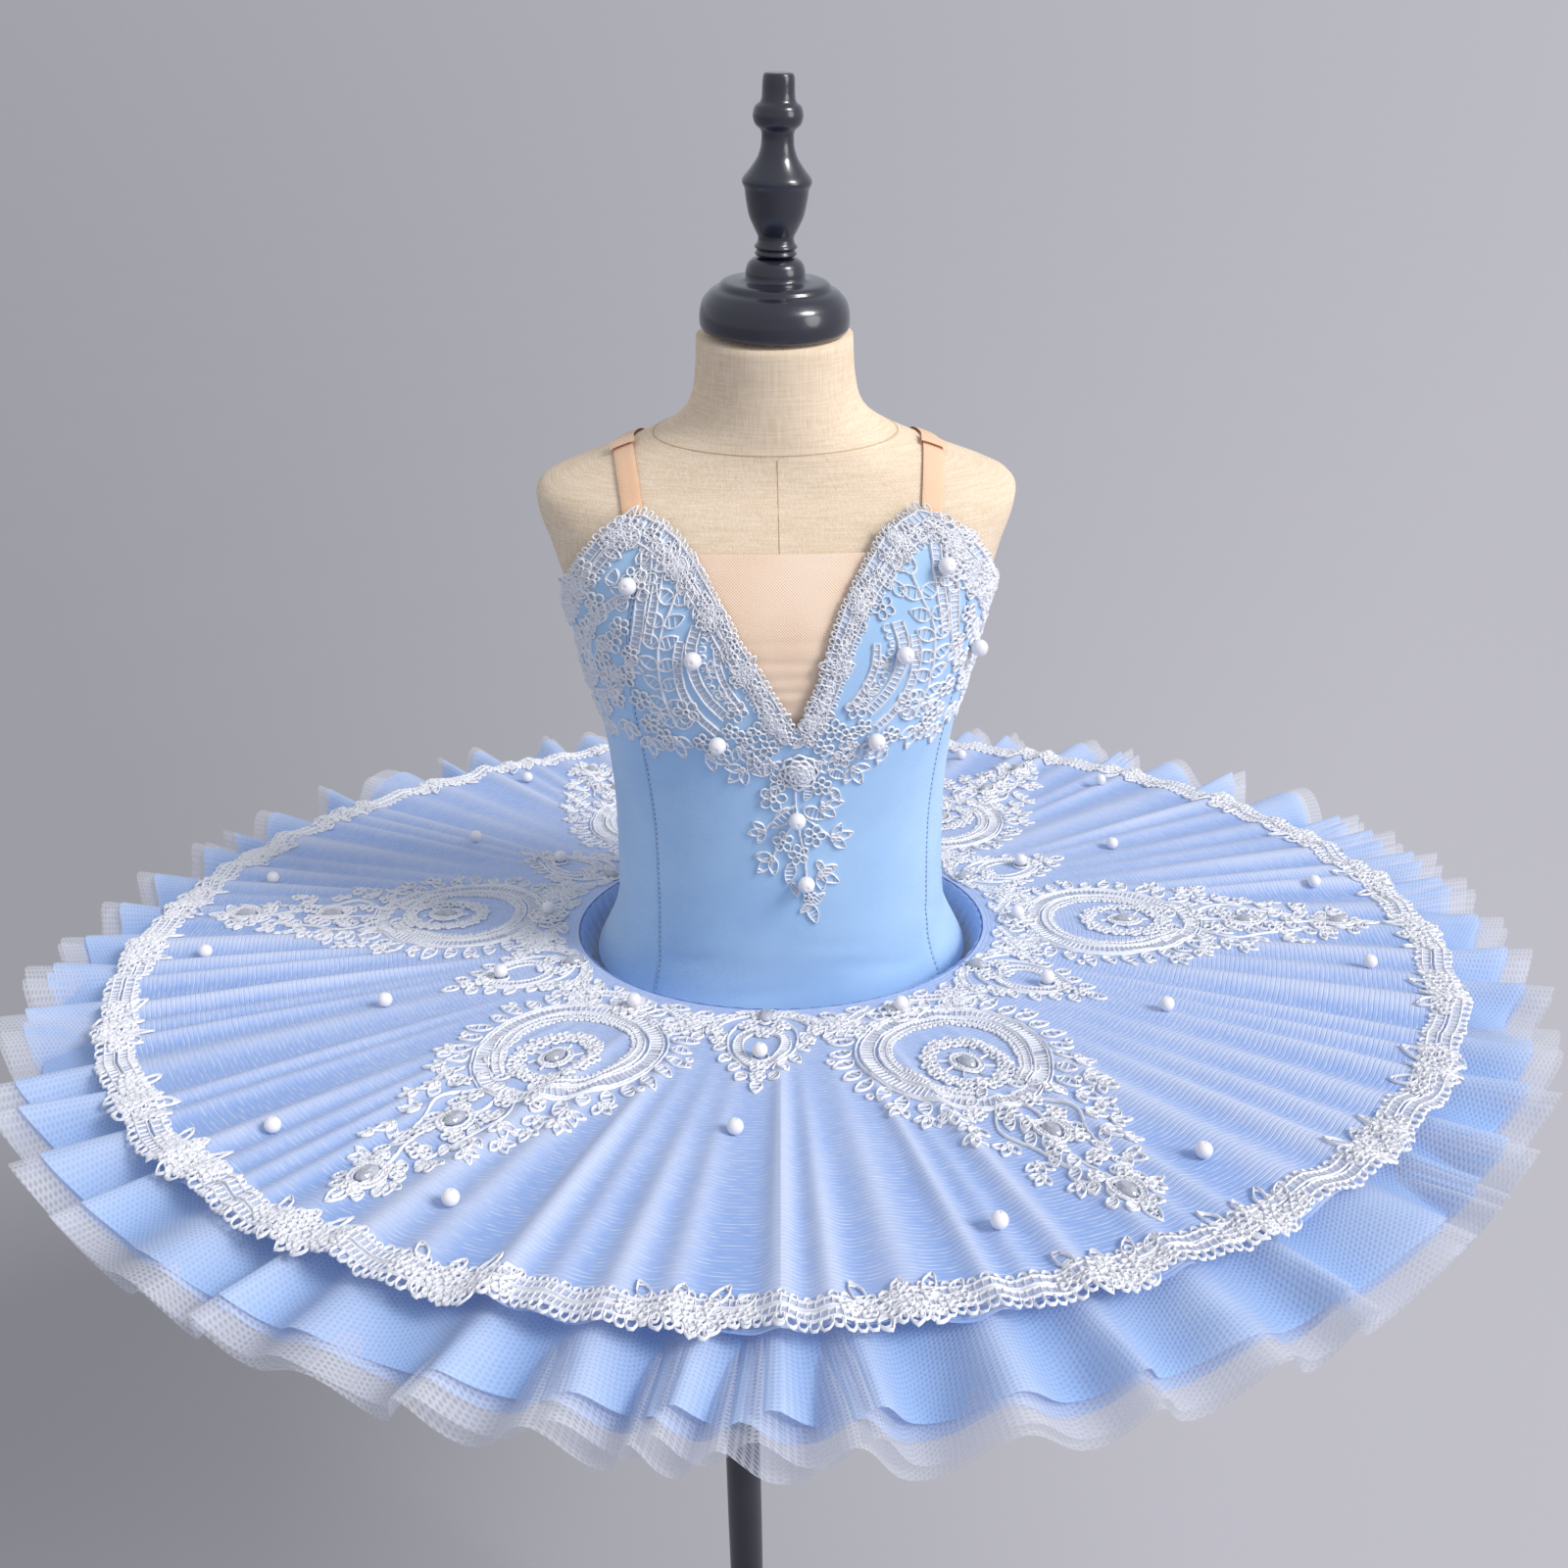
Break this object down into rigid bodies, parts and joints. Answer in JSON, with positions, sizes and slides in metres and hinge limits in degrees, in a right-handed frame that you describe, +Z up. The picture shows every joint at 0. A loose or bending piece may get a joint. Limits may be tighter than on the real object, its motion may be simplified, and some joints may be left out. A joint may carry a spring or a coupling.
{
  "type": "ballet tutu on a limbless dress form and stand",
  "caption": "Child's pale blue stage tutu with a pleated net skirt and white corded lace, worn by a linen dress form on a black stand.",
  "frame": {"origin": "centre of the stand foot's flat underside, on the floor under the pole", "axes": "+Z up, front of the bodice towards -Y, +X to the viewer's right"},
  "size_m": [0.932, 0.9214, 1.402],
  "materials": {
    "black_metal": "satin",
    "black_gloss": "gloss",
    "linen": "matte",
    "bodice_stretch": "satin",
    "nude_mesh": "matte",
    "strap_elastic": "satin",
    "basque_net": "matte",
    "glitter_net": "satin",
    "blue_net": "matte",
    "white_net": "matte",
    "corded_lace": "satin"
  },
  "bodies": {
    "root": {"basque": "basque_net", "bodice_back_left": "bodice_stretch", "bodice_back_right": "bodice_stretch", "bodice_front_centre": "bodice_stretch", "bodice_pendant": "corded_lace", "bodice_side_front_left": "bodice_stretch", "bodice_side_front_right": "bodice_stretch", "cup_lace_left": "corded_lace", "cup_lace_right": "corded_lace", "finial": "black_gloss", "form_collar": "black_metal", "form_torso": "linen", "modesty_panel": "nude_mesh", "neck_cap": "black_gloss", "neckline_braid_left": "corded_lace", "neckline_braid_right": "corded_lace", "skirt_edging": "corded_lace", "skirt_motif_large_1": "corded_lace", "skirt_motif_large_2": "corded_lace", "skirt_motif_large_3": "corded_lace", "skirt_motif_large_4": "corded_lace", "skirt_motif_large_5": "corded_lace", "skirt_motif_large_6": "corded_lace", "skirt_motif_small_1": "corded_lace", "skirt_motif_small_2": "corded_lace", "skirt_motif_small_3": "corded_lace", "skirt_motif_small_4": "corded_lace", "skirt_motif_small_5": "corded_lace", "skirt_motif_small_6": "corded_lace", "skirt_net_blue_lower": "blue_net", "skirt_net_blue_upper": "blue_net", "skirt_net_white_lower": "white_net", "skirt_net_white_upper": "white_net", "skirt_top_net": "glitter_net", "stand_foot": "black_metal", "stand_pole": "black_metal", "strap_fold_left": "strap_elastic", "strap_fold_right": "strap_elastic", "strap_left": "strap_elastic", "strap_right": "strap_elastic"}
  },
  "joints": []
}
